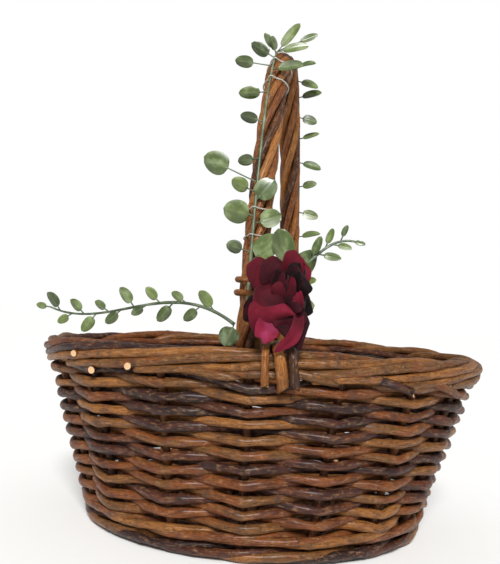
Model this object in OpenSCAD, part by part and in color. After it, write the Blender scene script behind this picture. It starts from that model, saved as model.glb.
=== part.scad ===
// Flower girl basket: an oval willow basket with a roped bow handle, a garland of small
// round leaves and one rose. Millimetres, +Z up, origin at the middle of the underside.
// The long way of the oval is X, and the front, where the rose is tied on, faces -Y.

/* [Basket] */
// Outer length of the oval rim
rim_length = 344; // [336:1:350]
// Outer width of the oval rim
rim_width = 237; // [234:1:242]
// Outer length of the oval base
base_length = 255; // [250:1:260]
// Outer width of the oval base
base_width = 209; // [206:1:212]
// Height of the rim above the surface that the basket stands on
rim_height = 135; // [133:1:137]

/* [Willow rods] */
// Diameter of an upright side stake
stake_d = 6; // [5:0.5:6]
// Width of a weaver rod, measured through the wall
weaver_w = 5; // [4.5:0.1:5]
// Diameter of the sticks that the base is built on
base_stick_d = 6; // [5:0.5:6]
// Height of each rod in the border
border_rod_h = 5.4; // [5:0.1:5.4]

/* [Handle] */
// Height of the middle of the handle bundle at its top
handle_top_z = 355; // [345:1:360]
// Distance of each handle leg from the middle of the basket, at the rim
handle_half_width = 88; // [86:0.5:88]
// Diameter of the core bow and of each rod roped round it
handle_rod_d = 5.7; // [5.4:0.1:5.7]
// Turns that the roped rods make round the bow, from one leg to the other
rope_turns = 3.6; // [3:0.1:4]

/* [Flower and leaves] */
// Radius of the rose across its outer petals
rose_r = 27; // [25:0.5:28]
// Diameter of the garland's stems
vine_d = 2.2; // [1.6:0.1:2.4]
// Thickness of a leaf
leaf_t = 0.9; // [0.8:0.1:1.2]

/* [Hidden] */
$fn = 32;
stake_count = 16;
row_count = 21;
ring_points = 96;
gap = 0.2;
stake_r = stake_d / 2;
// a leaning stake's level section is this much longer than its radius
stake_room = stake_r + 0.35;
// sideways swing of a weaver as it passes behind one stake and in front of the next
wave = 6.8;
stake_inset = wave + weaver_w / 2;
stake_shift = 3.7;
wale_rod_h = 4.85;
wale_rod_w = 5;
wale_rounds = 4;
wale_top = wale_rounds * (wale_rod_h + gap);
border_rod_w = 6;
border_low = rim_height - 3 * border_rod_h - 2 * gap;
row_low = wale_top;
row_pitch = (border_low - row_low) / row_count;
row_h = row_pitch - 0.25;
base_z = 7;
base_ring_h = 3;
base_ring_w = 4.6;
base_ring_pitch = 6.5;
base_ring_count = 11;
stick_gap = 6.6;
cross_gap = 11;
knee = 0.5;
// the roped rods lie six round one, and this is how far each is from the core
rope_r = 6.1;
bundle_r = rope_r + handle_rod_d / 2;
handle_x = 10;
handle_turn = 4;
bow_power = 1.6;
bow_steps = 44;
leg_foot_z = 45;
leg_foot_y = 86;
rose_at = [27, -114, 171];
rose_yaw = -30;
rose_tilt = 72;
// how far round the back leg its garland is, from the right side towards the back
back_vine_side = 50;
willow = ["#8a5a2f", "#a06a38", "#6e4426", "#94602f", "#7b4d2c", "#5a3626", "#a9753f"];

function row_name(i) = str("weaver_row_", i < 10 ? "0" : "", i);
function unit(v) = v / norm(v);

// ---- the leaning oval wall -------------------------------------------------------------

// half-length and half-width of the oval line that the stakes stand on, at height z
function stake_half(z) = [
    base_length / 2 + (rim_length - base_length) / 2 * z / rim_height - stake_inset,
    base_width / 2 + (rim_width - base_width) / 2 * z / rim_height - stake_inset];

// the stakes aren't evenly spread, and this moves angle t to where they really are
function uneven(t) = t + stake_shift * cos(t + 125);

// a point on an oval of half-sizes h at the uneven angle t, moved outwards by off
function oval_point(h, t, off) = let (u = uneven(t))
    [h[0] * cos(u), h[1] * sin(u)] + off * unit([h[1] * cos(u), h[0] * sin(u)]);

function oval_line(h, off, n) = [for (i = [0:n - 1]) oval_point(h, 360 * i / n, off)];

// the same line with a swing to alternate sides of the stakes; side is 1 or -1
function woven_line(h, side, off) = [for (i = [0:ring_points - 1])
    let (t = 360 * i / ring_points)
    oval_point(h, t, off + side * wave * cos(stake_count / 2 * (t + 90)))];

module ring(outer, inner, height) {
    n = len(outer);
    linear_extrude(height)
        polygon(concat(outer, inner), [[for (i = [0:n - 1]) i], [for (i = [n:2 * n - 1]) i]]);
}

// a plain hoop between two distances from the stakes' line, at height z
module hoop(z, height, half, from, to, n = 80) {
    translate([0, 0, z]) ring(oval_line(half, to, n), oval_line(half, from, n), height);
}

// one rod woven once round the basket, in front of one stake and behind the next
module weaver_row(i) {
    z = row_low + (i - 1) * row_pitch;
    half = stake_half(z + row_h / 2);
    side = i % 2 == 1 ? 1 : -1;
    color(willow[(i * 3) % len(willow)]) translate([0, 0, z])
        ring(woven_line(half, side, weaver_w / 2), woven_line(half, side, -weaver_w / 2), row_h);
}

// a round rod between two points
module rod(p, q, r) {
    d = q - p;
    translate(p) rotate([0, acos(d[2] / norm(d)), atan2(d[1], d[0])]) cylinder(h = norm(d), r = r);
}

// four neighbouring stakes, the first at angle start
module side_stakes(start) {
    low = 0.6;
    high = rim_height - border_rod_h - gap;
    color("#7a5230") for (k = [0:3]) {
        t = start + 360 / stake_count * k;
        rod([for (v = oval_point(stake_half(low), t, 0)) v, low],
            [for (v = oval_point(stake_half(high), t, 0)) v, high], stake_r);
    }
}

// ---- base ------------------------------------------------------------------------------

// half-sizes of the oval that the base sticks reach
function base_edge() = stake_half(0) - [1, 1] * (stake_room + wale_rod_w + 1);
function base_edge_point(t) = [for (v = oval_point(base_edge(), t, 0)) v, base_z];

// a stick with a straight middle and two ends that fan out; the knee covers each bend
module fanned_stick(a, b, end_a, end_b) {
    r = base_stick_d / 2;
    rod(a, b, r);
    rod(a, end_a, r);
    rod(b, end_b, r);
    for (p = [a, b]) translate(p) sphere(r = r + knee);
}

// three sticks along the base, threaded through the slit cross sticks
module base_sticks_long() {
    reach = 2.8 * cross_gap;
    color("#8b6238") for (k = [-1:1]) {
        t = 360 / stake_count * k;
        fanned_stick([reach, k * stick_gap, base_z], [-reach, k * stick_gap, base_z],
                     base_edge_point(t), base_edge_point(180 - t));
    }
}

// five shorter sticks across the base, each swollen and slit where the long ones go through
module base_sticks_cross() {
    reach = 2 * stick_gap;
    slit = base_stick_d + 0.3;
    color("#7a5230") difference() {
        for (k = [-2:2]) {
            t = 360 / stake_count * k;
            fanned_stick([k * cross_gap, reach, base_z], [k * cross_gap, -reach, base_z],
                         base_edge_point(90 - t), base_edge_point(t - 90));
            translate([k * cross_gap, reach, base_z]) rotate([90, 0, 0])
                cylinder(h = 2 * reach, r = slit / 2 + 1.5);
        }
        translate([0, 0, base_z]) cube([6 * cross_gap, 2 * stick_gap + slit, slit], center = true);
    }
}

// the rods of the paired base weave that lie on one side of the sticks
module base_weave(z) {
    edge = base_edge() - [1, 1] * base_ring_w / 2;
    color("#84592f") for (k = [0:base_ring_count - 1])
        hoop(z, base_ring_h, edge - [1, 1] * base_ring_pitch * k,
             -base_ring_w / 2, base_ring_w / 2, 40);
}

// four hoops outside the stakes' feet and two inside, and the basket stands on the lowest ones
module foot_wale() {
    color("#5d3a24") for (k = [0:wale_rounds - 1]) {
        z = k * (wale_rod_h + gap);
        hoop(z, wale_rod_h, stake_half(z + wale_rod_h), stake_room, stake_room + wale_rod_w);
        if (k < wale_rounds / 2)
            hoop(z, wale_rod_h, stake_half(z), -stake_room - wale_rod_w, -stake_room);
    }
}

// ---- border ----------------------------------------------------------------------------

function border_z(k) = border_low + k * (border_rod_h + gap);

module border_outer(k, tint) {
    z = border_z(k);
    color(tint) hoop(z, border_rod_h, stake_half(z + border_rod_h),
                     stake_room, stake_room + border_rod_w);
}

module border_inner(k, tint) {
    z = border_z(k);
    color(tint) hoop(z, border_rod_h, stake_half(z), -stake_room - border_rod_w, -stake_room);
}

// the two rods laid side by side over the stakes' ends
module border_top() {
    z = border_z(2);
    half = stake_half(z + border_rod_h / 2);
    color("#94602f") {
        hoop(z, border_rod_h, half, gap, gap + border_rod_w);
        hoop(z, border_rod_h, half, -gap - border_rod_w, -gap);
    }
}

// ---- handle ----------------------------------------------------------------------------

// across: sideways out of the handle's own upright plane; along: level, within that plane
across = [cos(handle_turn), -sin(handle_turn), 0];
along = [sin(handle_turn), cos(handle_turn), 0];

function in_plane(y, z) = [handle_x, 0, z] + along * y;

// the bow's middle line above the rim, from the front at a = 0 to the back at a = 180
function bow_point(a) = in_plane(-handle_half_width * cos(a),
    rim_height + (handle_top_z - rim_height) * pow(sin(a), bow_power));
function bow_tangent(a) = unit(bow_point(a + 0.5) - bow_point(a - 0.5));
function bow_outward(a) = cross(across, bow_tangent(a));

function leg_y(z) = leg_foot_y + (handle_half_width - leg_foot_y)
    * (z - leg_foot_z) / (rim_height - leg_foot_z);

// the whole line of the handle, with legs that reach down inside the basket to height low
function handle_line(low, leg_steps) = concat(
    [for (i = [0:leg_steps - 1]) let (z = low + (rim_height - low) * i / leg_steps)
        in_plane(-leg_y(z), z)],
    [for (i = [0:bow_steps]) bow_point(180 * i / bow_steps)],
    [for (i = [leg_steps - 1:-1:0]) let (z = low + (rim_height - low) * i / leg_steps)
        in_plane(leg_y(z), z)]);

function line_tangent(p, i) = unit(p[min(i + 1, len(p) - 1)] - p[max(i - 1, 0)]);
function run_lengths(p) =
    [for (i = 0, s = 0; i < len(p); s = s + norm(p[min(i + 1, len(p) - 1)] - p[i]), i = i + 1) s];

// skins a list of closed rings of points into one solid
module skin(rings) {
    m = len(rings[0]);
    last = len(rings) - 1;
    polyhedron([for (r = rings) for (p = r) p], concat(
        [[for (j = [m - 1:-1:0]) j]],
        [for (i = [0:last - 1]) for (j = [0:m - 1])
            [i * m + j, i * m + (j + 1) % m, (i + 1) * m + (j + 1) % m, (i + 1) * m + j]],
        [[for (j = [0:m - 1]) last * m + j]]), convexity = 8);
}

// a rod that keeps to the handle's line, off it by distance away and turning as it goes;
// with negative turns it climbs to the right round a leg, as it is seen from outside
module handle_rod(line, away, start_angle, turns) {
    s = run_lengths(line);
    total = s[len(s) - 1];
    skin([for (i = [0:len(line) - 1])
        let (side = cross(across, line_tangent(line, i)),
             a = start_angle + 360 * turns * s[i] / total,
             middle = line[i] + away * (cos(a) * across + sin(a) * side))
        [for (j = [0:7]) middle + handle_rod_d / 2 * (cos(45 * j) * across + sin(45 * j) * side)]]);
}

module handle_bow() {
    color("#8a5226") handle_rod(handle_line(leg_foot_z, 5), 0, 0, 0);
}

module handle_roped_rod(i) {
    color(["#b3702f", "#9c5f2a", "#c07c38"][i % 3])
        handle_rod(handle_line(border_low + 2, 2), rope_r, 60 * i, -rope_turns);
}

// puts its children on the bow at angle a, with Z along the bow and X across it
module on_bow(a) {
    t = bow_tangent(a);
    translate(bow_point(a)) rotate([0, 0, -handle_turn])
        rotate([-atan2(t * along, t[2]), 0, 0]) children();
}

module torus(r, tube_r) {
    rotate_extrude() translate([r, 0]) circle(r = tube_r);
}

// two turns of thin rod round a leg; side is 1 at the front and -1 at the back
module handle_binding(angles) {
    tube_r = 2.2;
    color("#a4622c") for (a = angles) on_bow(a) torus(bundle_r + tube_r + gap, tube_r);
}

// three short rods bent over the border beside a leg, like staples; out is -1 at the front
module handle_lashing(out) {
    r = 2.4;
    low = border_low - 4;
    top = rim_height + gap + r;
    y_in = (stake_half(rim_height)[1] - stake_room - border_rod_w - gap - r) - 3.4;
    y_out = stake_half(border_z(2))[1] + stake_room + border_rod_w + gap + r;
    bend = 4;
    color("#a9682e") for (k = [0:2]) {
        x = bow_point(out < 0 ? 0 : 180)[0] - out * (13 + 8 * k);
        translate([x, 0, 0]) rotate([0, 0, out < 0 ? 180 : 0]) {
            rod([0, y_in, low + 6], [0, y_in, top - bend], r);
            rod([0, y_in + bend, top], [0, y_out - bend, top], r);
            rod([0, y_out, low], [0, y_out, top - bend], r);
            translate([0, y_in + bend, top - bend]) rotate([90, 0, 90]) rotate([0, 0, 90])
                rotate_extrude(angle = 90) translate([bend, 0]) circle(r = r);
            translate([0, y_out - bend, top - bend]) rotate([90, 0, 90])
                rotate_extrude(angle = 90) translate([bend, 0]) circle(r = r);
        }
    }
}

// ---- garland ---------------------------------------------------------------------------

function bezier(p, t) = pow(1 - t, 3) * p[0] + 3 * pow(1 - t, 2) * t * p[1]
    + 3 * (1 - t) * t * t * p[2] + t * t * t * p[3];

// the garland's stems: two keep to the handle, and two are free sprigs
function front_vine(a) = bow_point(a) + bow_outward(a) * (bundle_r + vine_d / 2 + 0.6)
    - across * 3 * sin(a);
function back_vine(a) = bow_point(a) + (bundle_r + vine_d / 2 + 0.6)
    * (cos(back_vine_side) * across + sin(back_vine_side) * bow_outward(a));
left_sprig = [[-4, -104, 150], [-50, -96, 182], [-95, -80, 138], [-145, -64, 154]];
right_sprig = [[30, -98, 184], [46, -94, 192], [52, -90, 214], [76, -85, 206]];

// a thin round stem along a list of points
module stem(line) {
    skin([for (i = [0:len(line) - 1])
        let (t = line_tangent(line, i),
             u = unit(cross(t, abs(t[1]) < 0.8 ? [0, 1, 0] : [1, 0, 0])), v = cross(t, u))
        [for (j = [0:7]) line[i] + vine_d / 2 * (cos(45 * j) * u + sin(45 * j) * v)]]);
}

// a flat oval leaf on a short stalk, growing along +X, its face towards +Z
module leaf(length, width, stalk) {
    n = 18;
    rotate([0, 90, 0]) translate([0, 0, vine_d / 2 + gap]) cylinder(h = stalk, r = 0.45, $fn = 16);
    translate([vine_d / 2 + gap + stalk - 0.8, 0, -leaf_t / 2]) linear_extrude(leaf_t)
        polygon([for (i = [0:n - 1]) let (a = 360 * i / n)
            [length / 2 * (1 - cos(a)), width / 2 * sin(a) * (1 - 0.12 * cos(a))]]);
}

// a leaf at point p that points level along yaw and up by pitch, turned by roll on its stalk
module leaf_at(p, yaw, pitch, roll, length, width, stalk = 3) {
    translate(p) rotate([0, 0, yaw]) rotate([0, -pitch, 0]) rotate([roll, 0, 0])
        leaf(length, width, stalk);
}

module stem_colour() color("#5f7040") children();
module leaf_colour() color("#6f8a4c") children();

module vine_stem_front() {
    stem_colour() stem([for (a = [14:3:83]) front_vine(a)]);
}

module vine_stem_back() {
    stem_colour() stem([for (a = [95:4:159]) back_vine(a)]);
}

module vine_stem_left_sprig() {
    stem_colour() stem([for (i = [0:20]) bezier(left_sprig, i / 20)]);
}

module vine_stem_right_sprig() {
    stem_colour() stem([for (i = [0:12]) bezier(right_sprig, i / 12)]);
}

// along the front leg, big round leaves low down and slim ones in a tuft at the top;
// each is [angle on the bow, yaw, pitch, roll, length, width, stalk]
front_leaves = [
    [24.5, 3, 46, 80, 20, 16, 4.5], [26.5, 180, 16, 80, 11, 9, 6], [32, 4, 20, 78, 15, 13, 4],
    [33.5, 182, 12, 78, 18, 16, 3], [36.4, 4, 52, 82, 17, 15, 2], [38, 178, 25, 74, 13, 10, 6],
    [40, 180, 24, 78, 19, 16, 22], [45, 182, -12, 66, 11, 8, 4], [53, 181, 15, 66, 13, 8, 4],
    [61, 182, -4, 70, 16, 9, 5], [69, 358, 8, 66, 19, 10, 4], [70.5, 182, 8, 66, 14, 9, 14],
    [75, 178, 32, 72, 16, 10, 5], [77.5, 172, 74, 72, 12, 6, 3], [78.8, 176, 58, 72, 13, 6, 5],
    [80.2, 2, 15, 68, 20, 9, 4], [81.4, 4, 54, 76, 23, 8, 4], [82.6, 8, 26, 80, 15, 6, 18]];

module vine_leaves_front() {
    leaf_colour() for (l = front_leaves)
        leaf_at(front_vine(l[0]), l[1], l[2], l[3], l[4], l[5], l[6]);
}

module vine_leaves_back() {
    count = 11;
    leaf_colour() for (i = [0:count - 1])
        leaf_at(back_vine(97 + 6 * i), -8 + 12 * (i % 2), 12 - 24 * (i % 2), 50 + 9 * (i % 4),
                13 + 2 * (i % 3), 8 + i % 2);
}

module vine_leaves_left_sprig() {
    count = 13;
    leaf_colour() for (i = [0:count - 1]) {
        up = i % 2 == 0 ? 1 : -1;
        leaf_at(bezier(left_sprig, 0.1 + 0.07 * i), 178, up * (52 - 9 * (i % 3)), 78 + 8 * (i % 2),
                13 - 2 * (i % 3), 8 - i % 3);
    }
    leaf_colour() leaf_at(bezier(left_sprig, 1), 170, 5, 80, 9, 5);
    leaf_colour() leaf_at(bezier(left_sprig, 0), 182, -68, 80, 13, 13, 1.5);
}

module vine_leaves_right_sprig() {
    count = 6;
    leaf_colour() leaf_at(bezier(right_sprig, 0), 172, 72, 82, 22, 15, 8);
    leaf_colour() for (i = [0:count - 1]) {
        up = i % 2 == 0 ? 1 : -1;
        leaf_at(bezier(right_sprig, 0.3 + 0.11 * i), -5, 30 + up * 40, 75, 13 - 1.2 * i, 6 - 0.5 * i);
    }
}

// thin clear plastic ties that hold the stem to the handle
module vine_ties() {
    tube_r = 0.5;
    color("#dfe3dc") for (a = [30, 35.2, 66, 74]) on_bow(a)
        translate([-0.8, -1.8, 0]) torus(bundle_r + vine_d / 2 + 1.8, tube_r);
}

// ---- rose ------------------------------------------------------------------------------

module on_rose() {
    translate(rose_at) rotate([0, 0, rose_yaw]) rotate([rose_tilt, 0, 0]) children();
}

// one cupped petal: a round patch of a thin ball, its middle at angle lean from the rose's axis
module petal(r, lean) {
    thickness = 1.2;
    spread = (r - thickness) * sin(lean) * sin(36) - 0.35;
    rotate([0, lean, 0]) intersection() {
        difference() {
            sphere(r = r, $fn = 48);
            sphere(r = r - thickness, $fn = 48);
        }
        cylinder(h = r + 1, r = spread);
    }
}

module petals(r, lean, first) {
    on_rose() for (k = [0:4]) rotate([0, 0, first + 72 * k]) petal(r, lean);
}

// the rolled middle of the flower
module rose_bud() {
    color("#5c1226") on_rose() rotate_extrude()
        polygon([[0, 1], [7, 1], [11, 5], [12, 11], [10, 15], [6, 18], [0, 18.5]]);
}

// the green cup behind the petals, its five sepals and its cut stem
module rose_calyx() {
    color("#5f7a3e") on_rose() {
        translate([0, 0, -5]) cylinder(h = 5, r1 = 3.5, r2 = 8);
        for (k = [0:4]) rotate([0, 0, 72 * k]) translate([4, -2.5, -1.2]) cube([12, 5, 1.2]);
        translate([0, 0, -9]) cylinder(h = 5, r = 2);
    }
}

// ---- assembly --------------------------------------------------------------------------

for (i = [1:row_count]) weaver_row(i);
side_stakes(-90);  // side_stakes_front_right
side_stakes(0);  // side_stakes_back_right
side_stakes(90);  // side_stakes_back_left
side_stakes(180);  // side_stakes_front_left
base_sticks_long();
base_sticks_cross();
base_weave(base_z + base_stick_d / 2 + gap);  // base_weave_upper
base_weave(base_z - base_stick_d / 2 - gap - base_ring_h);  // base_weave_lower
foot_wale();
border_outer(0, "#4d2a22");  // border_outer_lower
border_outer(1, "#9a6634");  // border_outer_upper
border_inner(0, "#7a5230");  // border_inner_lower
border_inner(1, "#8a5a2f");  // border_inner_upper
border_top();
handle_bow();
for (i = [1:6]) handle_roped_rod(i);
handle_binding([18, 22]);  // handle_binding_front
handle_binding([158, 162]);  // handle_binding_back
handle_lashing(-1);  // handle_lashing_front
handle_lashing(1);  // handle_lashing_back
vine_stem_front();
vine_stem_back();
vine_stem_left_sprig();
vine_stem_right_sprig();
vine_leaves_front();
vine_leaves_back();
vine_leaves_left_sprig();
vine_leaves_right_sprig();
vine_ties();
color("#7d2440") petals(rose_r, 68, 0);  // rose_petals_outer
color("#6d1a35") petals(rose_r - 2.8, 54, 36);  // rose_petals_middle
color("#641630") petals(rose_r - 5.6, 38, 0);  // rose_petals_inner
rose_bud();
rose_calyx();
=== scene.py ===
# A flower girl basket of brown willow with a roped handle, a leafy garland and a cloth rose.
# Lengths in this file are millimetres until a mesh is made, which turns them into metres.
import math
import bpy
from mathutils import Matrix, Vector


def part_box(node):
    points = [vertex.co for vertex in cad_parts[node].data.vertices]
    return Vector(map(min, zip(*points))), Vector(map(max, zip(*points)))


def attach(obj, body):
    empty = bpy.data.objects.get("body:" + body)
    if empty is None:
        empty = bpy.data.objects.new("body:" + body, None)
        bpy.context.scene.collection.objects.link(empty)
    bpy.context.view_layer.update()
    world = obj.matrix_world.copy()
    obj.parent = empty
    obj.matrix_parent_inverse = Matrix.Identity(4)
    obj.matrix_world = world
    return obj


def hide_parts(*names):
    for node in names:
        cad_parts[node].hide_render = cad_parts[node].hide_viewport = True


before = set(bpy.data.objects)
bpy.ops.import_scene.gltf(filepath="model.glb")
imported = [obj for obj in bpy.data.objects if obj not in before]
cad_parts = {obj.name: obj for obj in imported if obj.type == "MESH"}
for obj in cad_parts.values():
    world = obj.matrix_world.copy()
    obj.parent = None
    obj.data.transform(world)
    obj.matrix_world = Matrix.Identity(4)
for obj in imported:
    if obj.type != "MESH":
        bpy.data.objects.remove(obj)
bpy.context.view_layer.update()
import zlib

import bpy
import numpy as np
from mathutils import Matrix, Vector

MM = 0.001
TAU = 2 * math.pi


def box_mm(node):
    """A CAD node's lowest and highest corners, in millimetres."""
    lo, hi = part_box(node)
    return np.array(lo) / MM, np.array(hi) / MM


def draws(name):
    """A stream of random numbers that belongs to one piece, the same on every run."""
    return np.random.default_rng(zlib.crc32(name.encode()))


# ---- the leaning oval wall, read from the CAD frame -------------------------------------
STAKES = 16
ROWS = sorted(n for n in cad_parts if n.startswith("weaver_row_"))
CAD_WALL_HALF = 9.3          # from the stakes' line to the outside of a CAD weaver
UNEVEN, UNEVEN_AT = math.radians(3.7), math.radians(125)
SAG = 4.0                    # how far the rim's two ends hang below its middle
STAKE_R = 3.0
STAKE_FOOT_Z = 3.5           # high enough for a leaning stake's end to clear the floor
WEAVER_R = 3.15


def wall_from_frame():
    """The stakes' line as half-sizes at height 0, and how fast they grow with height."""
    first, last = box_mm(ROWS[0]), box_mm(ROWS[-1])
    z0, z1 = first[0][2] / 2 + first[1][2] / 2, last[0][2] / 2 + last[1][2] / 2
    grow = (last[1][:2] - first[1][:2]) / (z1 - z0)
    return first[1][:2] - grow * z0 - CAD_WALL_HALF, grow


WALL_FOOT, WALL_GROW = wall_from_frame()
RIM_Z = box_mm("border_top")[1][2]
BORDER_Z = box_mm("border_outer_lower")[0][2]
BASE_Z = float(np.mean([box_mm("base_sticks_long")[i][2] for i in (0, 1)]))


def uneven(t):
    """Stakes aren't quite evenly spread, and this moves angle t to where they are."""
    return t + UNEVEN * np.cos(t + UNEVEN_AT)


def stake_angle(k):
    return -TAU / 4 + TAU / STAKES * k


def on_wall(t, z, off):
    """Points on the wall at angles t and heights z, off millimetres out from the stakes."""
    t, z, off = np.broadcast_arrays(uneven(np.asarray(t, float)), z, off)
    hx = WALL_FOOT[0] + WALL_GROW[0] * z
    hy = WALL_FOOT[1] + WALL_GROW[1] * z
    c, s = np.cos(t), np.sin(t)
    normal = np.stack([hy * c, hx * s], -1)
    normal /= np.linalg.norm(normal, axis=-1, keepdims=True)
    xy = np.stack([hx * c, hy * s], -1) + normal * off[..., None]
    return np.concatenate([xy, (z - SAG * c**2 * (z / RIM_Z) ** 2)[..., None]], -1)


# ---- meshes -----------------------------------------------------------------------------
def wander(rng, s, wavelength, size):
    """A smooth random line over s, for anything that isn't quite straight or even."""
    waves = [(TAU / wavelength * rng.uniform(0.5, 1.7), rng.uniform(0, TAU)) for _ in range(4)]
    return size * sum(np.sin(f * s + p) for f, p in waves) / 2


def unit(v):
    return v / np.maximum(np.linalg.norm(v, axis=-1, keepdims=True), 1e-9)


def run_length(path):
    return np.concatenate([[0], np.cumsum(np.linalg.norm(np.diff(path, axis=0), axis=1))])


def resample(path, step):
    """The same line with points every step millimetres."""
    s = run_length(path)
    n = max(int(s[-1] / step), 4)
    at = np.linspace(0, s[-1], n + 1)
    return np.stack([np.interp(at, s, path[:, i]) for i in range(3)], -1)


def bezier(points, n):
    p = np.array(points, float)
    t = np.linspace(0, 1, n)[:, None]
    return ((1 - t) ** 3 * p[0] + 3 * (1 - t) ** 2 * t * p[1]
            + 3 * (1 - t) * t**2 * p[2] + t**3 * p[3])


def carried_frames(path):
    """A direction across the path at each point, carried along it without twisting."""
    tangent = unit(np.gradient(path, axis=0))
    side = np.zeros_like(path)
    start = np.cross(tangent[0], [0, 0, 1] if abs(tangent[0][2]) < 0.8 else [1, 0, 0])
    side[0] = unit(start)
    for i in range(1, len(path)):
        v = side[i - 1] - tangent[i] * (side[i - 1] @ tangent[i])
        side[i] = unit(v)
    return tangent, side


class Mesh:
    """Points, faces and the values that the materials read, gathered before one mesh is made.

    rod_space is where a point would be if its rod were straight, in millimetres: along it, and
    two ways across. tone is one random number for each rod; the rose's petals are given theirs,
    near black on those towards the right as painted shade. The third value is 1 at the top of a
    rod's knots, follows the vein on a leaf, and on a petal is painted shade that deepens towards
    its foot."""

    def __init__(self):
        self.points, self.faces, self.slots, self.flat = [], [], [], []
        self.rod_space, self.tone, self.knot_vein_painted_shade = [], [], []
        self.count = 0

    def add(self, points, faces, space, tone=0.5, knot_vein_painted_shade=0.0, slot=0, flat=False):
        points = np.asarray(points, float)
        n = len(points)
        self.points.append(points)
        self.rod_space.append(np.broadcast_to(space, (n, 3)))
        self.tone.append(np.broadcast_to(tone, n))
        self.knot_vein_painted_shade.append(np.broadcast_to(knot_vein_painted_shade, n))
        self.faces += [tuple(int(i) + self.count for i in f) for f in faces]
        self.slots += [slot] * len(faces)
        self.flat += [flat] * len(faces)
        self.count += n

    def rod(self, path, radius, rng, tone=None, sides=12, knots=0.018, squash=1.0, cut=0.5,
            rough=0.05, slot=0, end_slot=1):
        """One round stick of willow along path, with knots, bumps and two cut ends."""
        n = len(path)
        s = run_length(path)
        tangent, side = carried_frames(path)
        lift = np.cross(side, tangent)
        radius = np.broadcast_to(radius, n) * (1 + wander(rng, s, 34, rough))
        knot_vein_painted_shade = np.zeros(n)
        for _ in range(rng.poisson(knots * s[-1])):
            bump = np.exp(-((s - rng.uniform(4, max(s[-1] - 4, 5))) / rng.uniform(1.2, 2.6)) ** 2)
            knot_vein_painted_shade = np.maximum(knot_vein_painted_shade, bump * rng.uniform(0.5, 1))
        radius = radius * (1 + 0.16 * knot_vein_painted_shade)
        a = np.arange(sides) * TAU / sides
        ring = 1 + 0.045 * np.sin(2 * a[None] + wander(rng, s, 60, 3)[:, None])
        across = radius[:, None] * ring
        points = (path[:, None] + (across * np.cos(a))[..., None] * side[:, None]
                  + (across * squash * np.sin(a))[..., None] * lift[:, None])
        slant = rng.uniform(0, TAU, 2)
        for end, sign, turn in ((0, -1, slant[0]), (-1, 1, slant[1])):
            shear = cut * radius[end] * np.cos(a + turn) * sign
            points[end] += shear[:, None] * tangent[end]
        tone = rng.uniform() if tone is None else tone
        space = np.stack([np.broadcast_to(s[:, None], across.shape),
                          across * np.cos(a), across * np.sin(a)], -1)
        i, j = np.meshgrid(np.arange(n - 1), np.arange(sides), indexing="ij")
        k = (j + 1) % sides
        quads = np.stack([i * sides + j, (i + 1) * sides + j, (i + 1) * sides + k, i * sides + k], -1)
        base = self.count
        self.add(points.reshape(-1, 3), quads.reshape(-1, 4), space.reshape(-1, 3), tone,
                 np.repeat(knot_vein_painted_shade, sides), slot)
        for ring_index, order in ((0, range(sides)), (n - 1, range(sides - 1, -1, -1))):
            self.faces.append(tuple(base + ring_index * sides + q for q in order))
            self.slots.append(end_slot)
            self.flat.append(True)

    def grid(self, points, space, tone, slot=0, knot_vein_painted_shade=0.0):
        """A sheet of quads from an (n, m, 3) array of points."""
        n, m = points.shape[:2]
        i, j = np.meshgrid(np.arange(n - 1), np.arange(m - 1), indexing="ij")
        quads = np.stack([i * m + j, (i + 1) * m + j, (i + 1) * m + j + 1, i * m + j + 1], -1)
        self.add(points.reshape(-1, 3), quads.reshape(-1, 4), space.reshape(-1, 3), tone, knot_vein_painted_shade, slot)

    def piece(self, name, materials, slot, nodes, subsurf=0, solidify=0.0):
        """Makes the Blender object, which rides on the frame and stands for its CAD nodes."""
        data = bpy.data.meshes.new(name)
        data.from_pydata((np.concatenate(self.points) * MM).tolist(), [], self.faces)
        for value, kind, layer in ((self.rod_space, "FLOAT_VECTOR", "rod_space"),
                                   (self.tone, "FLOAT", "tone"), (self.knot_vein_painted_shade, "FLOAT", "knot_vein_painted_shade")):
            attribute = data.attributes.new(layer, kind, "POINT")
            key = "vector" if kind == "FLOAT_VECTOR" else "value"
            attribute.data.foreach_set(key, np.concatenate(value).astype(np.float32).ravel())
        for m in materials:
            data.materials.append(m)
        data.polygons.foreach_set("material_index", self.slots)
        data.polygons.foreach_set("use_smooth", [not f for f in self.flat])
        data.update()
        obj = bpy.data.objects.new(name, data)
        bpy.context.collection.objects.link(obj)
        if solidify:
            m = obj.modifiers.new("thickness", "SOLIDIFY")
            m.thickness, m.offset = solidify * MM, 0
        if subsurf:
            m = obj.modifiers.new("smooth", "SUBSURF")
            m.levels = m.render_levels = subsurf
        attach(obj, "root")
        if nodes:
            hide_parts(*nodes)
        return obj


# ---- materials --------------------------------------------------------------------------
def colour(text):
    """A hex colour as linear red, green, blue and 1."""
    parts = [int(text[i:i + 2], 16) / 255 for i in (1, 3, 5)]
    return [p / 12.92 if p <= 0.04045 else ((p + 0.055) / 1.055) ** 2.4 for p in parts] + [1]


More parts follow.
